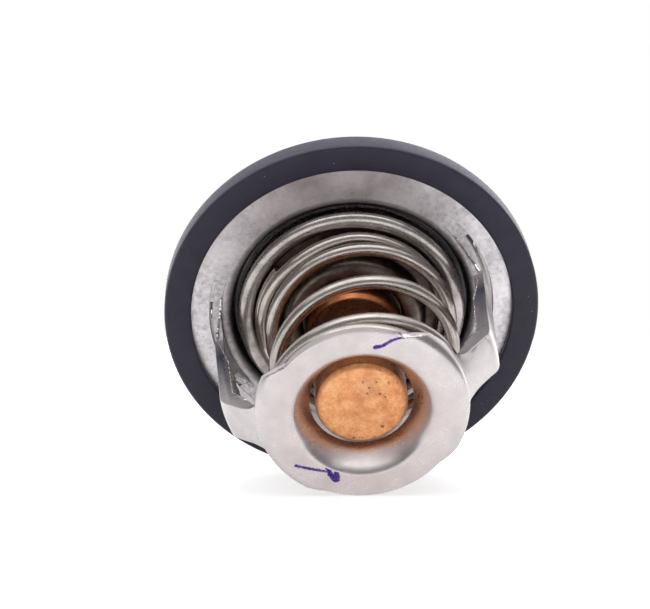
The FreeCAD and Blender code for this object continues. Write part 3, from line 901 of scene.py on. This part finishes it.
tone = blend_colours(tree, maths(tree, "MULTIPLY", worn_share, mottle), tone, srgb(150, 128, 112))
tone = blend_colours(tree, maths(tree, "MULTIPLY", pits, 0.75), tone, srgb(96, 52, 34))
height = height_of(tree, place)
on_side = spread(tree, height, SIDE_FROM * MM, SIDE_TO * MM, 0.0, 1.0)
side_tone = ramp(tree, clouds, [(0.35, srgb(142, 86, 56)), (0.65, srgb(188, 120, 80))])
tone = blend_colours(tree, on_side, tone, side_tone)
rough = spread(tree, clouds, 0.3, 0.7, 0.5, 0.36)
rough = maths(tree, "SUBTRACT", rough, maths(tree, "MULTIPLY", on_side, 0.14))
relief = bump(tree, maths(tree, "SUBTRACT", 1.0, pits), 0.06, bump(tree, grain, 0.014))
set_inputs(tree, shader, Base_Color=tone, Roughness=rough, Normal=relief)
dress(copper, capsule)
print("The capsule has", len(capsule_pits), "named pits")

# %% [markdown]
# ## Rubber
#
# Moulded rubber is a dark blue grey with a low sheen. It holds dust, which shows as pale specks, and
# its skin is slightly uneven. Seal, washer and sleeve are three mixes of the same finish, and the
# seal's rim has a streaked band painted lighter as a painted sheen. The wax is pale and a little
# translucent.

# %% Finish: rubber parts and wax
RIM_FROM, RIM_TO = 33.2, 33.45


def moulded_rubber(name, dark, light, rough_low, rough_high, dust_share):
    """Dark rubber with an uneven skin and dust."""
    material, tree, shader, place = new_finish(name, {"Specular IOR Level": 0.4})
    clouds = noise_value(tree, place, 3.5, detail=5)
    skin = noise_value(tree, place, 0.5, detail=4)
    dust = specks(tree, place, 1.2, 0.22, dust_share)
    tone = ramp(tree, clouds, [(0.35, dark), (0.65, light)])
    tone = blend_colours(tree, maths(tree, "MULTIPLY", dust, 0.6), tone, srgb(190, 188, 190))
    rough = spread(tree, skin, 0.3, 0.7, rough_low, rough_high)
    set_inputs(tree, shader, Base_Color=tone, Roughness=rough, Normal=bump(tree, skin, 0.02))
    return material, tree, shader, place, tone


seal_rubber, tree, shader, place, tone = moulded_rubber(
    "seal_rubber", srgb(38, 34, 52), srgb(46, 42, 62), 0.34, 0.5, 0.06
)
# Painted sheen: the seal's rim is painted lighter than its face, with streaks along it.
on_rim = spread(tree, from_axis(tree, place), RIM_FROM * MM, RIM_TO * MM, 0.0, 0.8)
rim_streaks = noise_value(tree, stretched(tree, place, 0.1, 0.1, 1.0), 0.25, detail=3)
rim_sheen_tone = ramp(tree, rim_streaks, [(0.35, srgb(76, 73, 90)), (0.65, srgb(100, 96, 116))])
set_inputs(tree, shader, Base_Color=blend_colours(tree, on_rim, tone, rim_sheen_tone))
washer_rubber = moulded_rubber("washer_rubber", srgb(28, 28, 30), srgb(40, 40, 42), 0.45, 0.6, 0.02)[0]
sleeve_rubber = moulded_rubber("sleeve_rubber", srgb(36, 34, 34), srgb(50, 47, 46), 0.5, 0.65, 0.02)[0]
wax, tree, shader, place = new_finish("expansion_wax", {"Subsurface Weight": 0.15})
wax_clouds = noise_value(tree, place, 1.5, detail=5)
wax_tone = ramp(tree, wax_clouds, [(0.35, srgb(196, 160, 110)), (0.65, srgb(224, 196, 150))])
wax_rough = spread(tree, wax_clouds, 0.3, 0.7, 0.4, 0.6)
set_inputs(tree, shader, Base_Color=wax_tone, Roughness=wax_rough, Normal=bump(tree, wax_clouds, 0.05))
dress(seal_rubber, seal)
dress(washer_rubber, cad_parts["scraper_washer"])
dress(sleeve_rubber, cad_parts["rubber_sleeve"])
dress(wax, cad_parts["wax_charge"])

# %% [markdown]
# ## The camera
#
# The photograph looks at the thermostat from its engine side. Turn, rise, roll and distance place the
# camera so that seal, ring and capsule fall on the same pixels as in the photograph. Angles are in
# degrees, and lens and sensor are in millimetres.

# %% Camera
CAMERA_TURN = 11.0
CAMERA_RISE = -59.84
CAMERA_ROLL = -5.04
CAMERA_DISTANCE = 323.5
CAMERA_LENS, CAMERA_SENSOR = 100.66, 36
aim = Vector((-3.99, -3.81, 32.2)) * MM
turn, rise = math.radians(CAMERA_TURN), math.radians(CAMERA_RISE)
back = Vector((math.sin(turn) * math.cos(rise), -math.cos(turn) * math.cos(rise), math.sin(rise)))
eye = bpy.data.cameras.new("photo_camera")
eye.lens = CAMERA_LENS
eye.sensor_width = CAMERA_SENSOR
eye.clip_start = 10 * MM
eye.clip_end = 10
camera = bpy.data.objects.new("photo_camera", eye)
bpy.context.scene.collection.objects.link(camera)
camera.matrix_world = (
    Matrix.Translation(aim + back * CAMERA_DISTANCE * MM)
    @ (-back).to_track_quat("-Z", "Y").to_matrix().to_4x4()
    @ Matrix.Rotation(math.radians(CAMERA_ROLL), 4, "Z")
)
bpy.context.scene.camera = camera
photo_up = camera.matrix_world.to_3x3() @ Vector((0, 1, 0))
photo_right = camera.matrix_world.to_3x3() @ Vector((1, 0, 0))
print("The camera stands", CAMERA_DISTANCE, "mm from the point that it looks at")

# %% [markdown]
# ## Light
#
# The photograph is a product shot in a light tent: white all round, so metal mirrors white, with a
# softer fill for matt surfaces. The world is white for rays that see it directly or in a reflection,
# and dimmer for the diffuse light that it gives. Two large lamps add direction and a shadow, and dark
# cards behind the camera and on both sides give the metal something dark to mirror. Their places and
# sizes are in metres, and the lamps' power is in watts.

# %% World
FILL_STRENGTH = 0.4
world = bpy.data.worlds.new("studio")
world.use_nodes = True
bpy.context.scene.world = world
sky = world.node_tree
path = node(sky, "LightPath")
direct = maths(sky, "MAXIMUM", path.outputs["Is Camera Ray"], path.outputs["Is Glossy Ray"])
seen = maths(sky, "MAXIMUM", direct, path.outputs["Is Transmission Ray"])
strength = spread(sky, seen, 0.0, 1.0, FILL_STRENGTH, 1.0)
sky.nodes["Background"].inputs["Color"].default_value = (1, 1, 1, 1)
sky.links.new(strength, sky.nodes["Background"].inputs["Strength"])
print("The world fills with strength", FILL_STRENGTH)


# %% Lamps
def softbox(name, place, target, size, power):
    """A square lamp that faces a target."""
    light = bpy.data.lights.new(name, "AREA")
    light.shape = "SQUARE"
    light.size = size
    light.energy = power
    lamp = bpy.data.objects.new(name, light)
    bpy.context.scene.collection.objects.link(lamp)
    facing = (target - place).to_track_quat("-Z", "Y").to_matrix().to_4x4()
    lamp.matrix_world = Matrix.Translation(place) @ facing
    print(name, "lamp gives", power, "W")


centre = Vector((0, 0, 20 * MM))
softbox("key", centre + (back * 0.25 + photo_up * 0.45), centre, size=0.6, power=1.1)
softbox("overhead", centre + Vector((0.1, 0.25, 0.5)), centre, size=0.8, power=2.0)


# %% Dark cards
def dark_card(name, offset, size, glow):
    """A dark card that only mirror-like surfaces see, facing the object. Its glow is its grey."""
    shape = bmesh.new()
    turned = Matrix.Translation(centre + offset) @ (-offset).to_track_quat("Z", "Y").to_matrix().to_4x4()
    bmesh.ops.create_grid(shape, x_segments=1, y_segments=1, size=size / 2, matrix=turned)
    mesh = bpy.data.meshes.new(name)
    shape.to_mesh(mesh)
    shape.free()
    card = bpy.data.objects.new(name, mesh)
    bpy.context.scene.collection.objects.link(card)
    card.visible_camera = False
    card.visible_diffuse = False
    card.visible_shadow = False
    card.visible_transmission = False
    grey = bpy.data.materials.new(name)
    grey.use_nodes = True
    tree = grey.node_tree
    light = node(tree, "Emission", {"Color": (1, 0.98, 0.98, 1), "Strength": glow})
    tree.links.new(light.outputs[0], tree.nodes["Material Output"].inputs["Surface"])
    dress(grey, card)


dark_card("card_behind_camera", back * 0.4, size=0.66, glow=0.3)
dark_card("card_right", photo_right * 0.3 + back * 0.1, size=0.42, glow=0.22)
dark_card("card_left", -photo_right * 0.3 + back * 0.1, size=0.42, glow=0.22)
print("Dark cards stand behind the camera and on both sides")

# %% [markdown]
# ## The floor
#
# The thermostat lies tilted on the table, on the seal's rim and the ring's edge, so in this frame the
# table is a tilted plane through those two points. It is plain white and glows a little to the camera,
# so that only a faint shadow shows on it. Metal mirrors it brighter than it is, like the floor of a
# light tent. It is seen from above only, so that views from below are not blocked.

# %% Floor
FLOOR_SIZE, FLOOR_TILES = 0.6, 8
FLOOR_GAP = 0.02
FLOOR_GREY = 0.8
CAMERA_GLOW = 0.62
MIRROR_GLOW, MIRROR_WHITE = 0.2, 1.5
RING_RADIUS = 16.0
down = -(photo_up - photo_up.z * Vector((0, 0, 1))).normalized()
seal_low_point = down * SEAL_OUTER * MM + Vector((0, 0, SEAL_LOW * MM))
ring_low_point = down * RING_RADIUS * MM
slope = (seal_low_point - ring_low_point).normalized()
level = Vector((0, 0, 1)).cross(down).normalized()
floor_normal = slope.cross(level).normalized()
if floor_normal.dot(down) > 0:
    floor_normal.negate()
floor_turned = floor_normal.to_track_quat("Z", "Y").to_matrix().to_4x4()
floor_place = Matrix.Translation(ring_low_point - floor_normal * FLOOR_GAP * MM) @ floor_turned
floor_shape = bmesh.new()
bmesh.ops.create_grid(
    floor_shape,
    x_segments=FLOOR_TILES,
    y_segments=FLOOR_TILES,
    size=FLOOR_SIZE,
    matrix=floor_place,
)
floor_mesh = bpy.data.meshes.new("floor")
floor_shape.to_mesh(floor_mesh)
floor_shape.free()
floor = bpy.data.objects.new("floor", floor_mesh)
bpy.context.scene.collection.objects.link(floor)
print("The floor leans", round(math.degrees(floor_normal.angle(Vector((0, 0, 1))))), "degrees")

# %% Finish: floor
floor_finish, tree, shader, _ = new_finish("white_table", {"Roughness": 0.6})
shader.inputs["Base Color"].default_value = (FLOOR_GREY, FLOOR_GREY, FLOOR_GREY, 1)
path = node(tree, "LightPath")
mirrored = maths(tree, "MAXIMUM", path.outputs["Is Glossy Ray"], path.outputs["Is Transmission Ray"])
faint_glow = node(tree, "Emission", {"Color": (1, 1, 1, 1), "Strength": MIRROR_GLOW})
bright = node(tree, "BsdfDiffuse", {"Color": (MIRROR_WHITE, MIRROR_WHITE, MIRROR_WHITE, 1)})
in_mirror = node(tree, "AddShader", {0: bright.outputs[0], 1: faint_glow.outputs[0]})
glow = node(tree, "Emission", {"Color": (1, 1, 1, 1), "Strength": CAMERA_GLOW})
direct = node(tree, "AddShader", {0: shader.outputs[0], 1: glow.outputs[0]})
to_camera = path.outputs["Is Camera Ray"]
table = node(tree, "MixShader", {0: mirrored, 1: shader.outputs[0], 2: in_mirror.outputs[0]})
table = node(tree, "MixShader", {0: to_camera, 1: table.outputs[0], 2: direct.outputs[0]})
behind = node(tree, "NewGeometry").outputs["Backfacing"]
clear = node(tree, "BsdfTransparent").outputs[0]
one_sided = node(tree, "MixShader", {0: behind, 1: table.outputs[0], 2: clear})
tree.links.new(one_sided.outputs[0], tree.nodes["Material Output"].inputs["Surface"])
dress(floor_finish, floor)

# %% Colours
bpy.context.scene.view_settings.view_transform = "Standard"
print("Colours render about as they are written")
